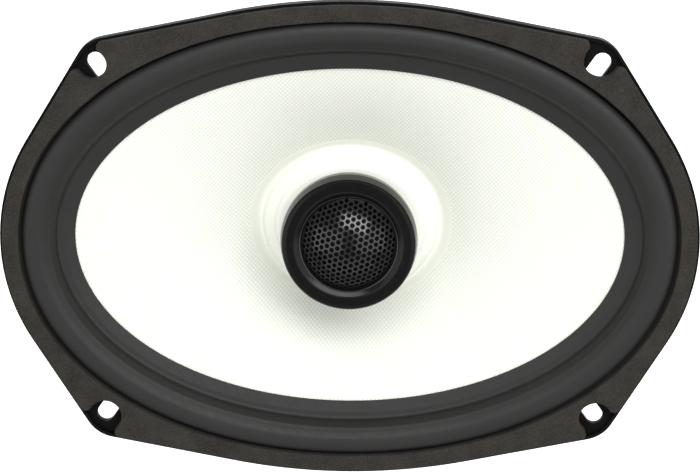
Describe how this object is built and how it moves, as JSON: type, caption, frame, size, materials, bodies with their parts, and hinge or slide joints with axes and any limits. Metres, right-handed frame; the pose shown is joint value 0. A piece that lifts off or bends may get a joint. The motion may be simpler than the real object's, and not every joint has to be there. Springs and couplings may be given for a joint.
{
  "type": "coaxial car speaker",
  "caption": "Oval coaxial car speaker: woven cone on a rubber surround, tweeter pod on a centre post, slotted mounting flange and rear magnet.",
  "frame": {"origin": "centre of the screw-slot pattern, on the rear face of the mounting flange", "axes": "+Z out of the front along the cone's axis, +X along the long axis, terminals on the -Y side"},
  "size_m": [0.236, 0.164, 0.1],
  "materials": {
    "basket_paint": "satin black paint on stamped steel",
    "gasket_foam": "closed-cell foam, fine speckle",
    "surround_rubber": "matte butyl rubber",
    "woven_cone": "white woven glass fibre, resin coated",
    "dust_ring_film": "smooth white film",
    "coil_former": "amber film",
    "copper_winding": "enamelled copper wire",
    "black_adhesive": "cured black adhesive",
    "spider_cloth": "resin-dipped cotton",
    "plated_steel": "zinc plated",
    "ferrite": "ground ferrite",
    "bright_steel": "bright zinc",
    "boot_rubber": "matte moulded rubber",
    "phenolic_board": "brown phenolic laminate",
    "terminal_brass": "tinned brass",
    "tinsel_braid": "braided copper tinsel",
    "capacitor_sleeve": "plain shrink sleeve",
    "red_insulation": "vinyl insulation",
    "black_insulation": "vinyl insulation",
    "pod_plastic": "semi-gloss black moulding",
    "grille_paint": "satin black paint on perforated steel",
    "dome_film": "translucent polymer film",
    "neodymium": "nickel plated",
    "ring_plastic": "moulded nylon"
  },
  "bodies": {
    "frame_body": {"basket": "basket_paint", "front_gasket": "gasket_foam", "surround": "surround_rubber", "spider": "spider_cloth", "top_plate": "plated_steel", "ferrite_magnet": "ferrite", "yoke": "plated_steel", "motor_rivets": "bright_steel", "magnet_boot": "boot_rubber", "terminal_board": "phenolic_board", "terminal_board_rivets": "bright_steel", "terminal_positive": "terminal_brass", "terminal_negative": "terminal_brass", "terminal_eyelets": "bright_steel", "tinsel_lead_positive": "tinsel_braid", "tinsel_lead_negative": "tinsel_braid", "crossover_capacitor": "capacitor_sleeve", "tweeter_wire_positive": "red_insulation", "tweeter_wire_negative": "black_insulation", "tweeter_post": "bright_steel", "post_washer": "bright_steel", "post_nut": "bright_steel", "tweeter_housing": "pod_plastic", "tweeter_bezel": "pod_plastic", "tweeter_grille": "grille_paint", "tweeter_suspension": "dome_film", "tweeter_magnet": "neodymium", "tweeter_pole_plate": "plated_steel", "tweeter_pot": "plated_steel", "tweeter_mounting_ring": "ring_plastic"},
    "cone_body": {"cone": "woven_cone", "dust_ring": "dust_ring_film", "voice_coil_former": "coil_former", "voice_coil_winding": "copper_winding", "lead_pads": "black_adhesive"},
    "tweeter_diaphragm": {"tweeter_dome": "dome_film", "tweeter_voice_coil": "copper_winding"}
  },
  "joints": [
    {"name": "cone_excursion", "type": "slide", "parent": "frame_body", "child": "cone_body", "axis": [0, 0, 1], "range_m": [-0.005, 0.005], "stiffness_N_per_m": 4000, "deforming": ["surround", "spider", "tinsel_lead_positive", "tinsel_lead_negative"]},
    {"name": "tweeter_excursion", "type": "slide", "parent": "frame_body", "child": "tweeter_diaphragm", "axis": [0, 0, 1], "range_m": [-0.0003, 0.0003], "stiffness_N_per_m": 50, "deforming": ["tweeter_suspension"]}
  ]
}
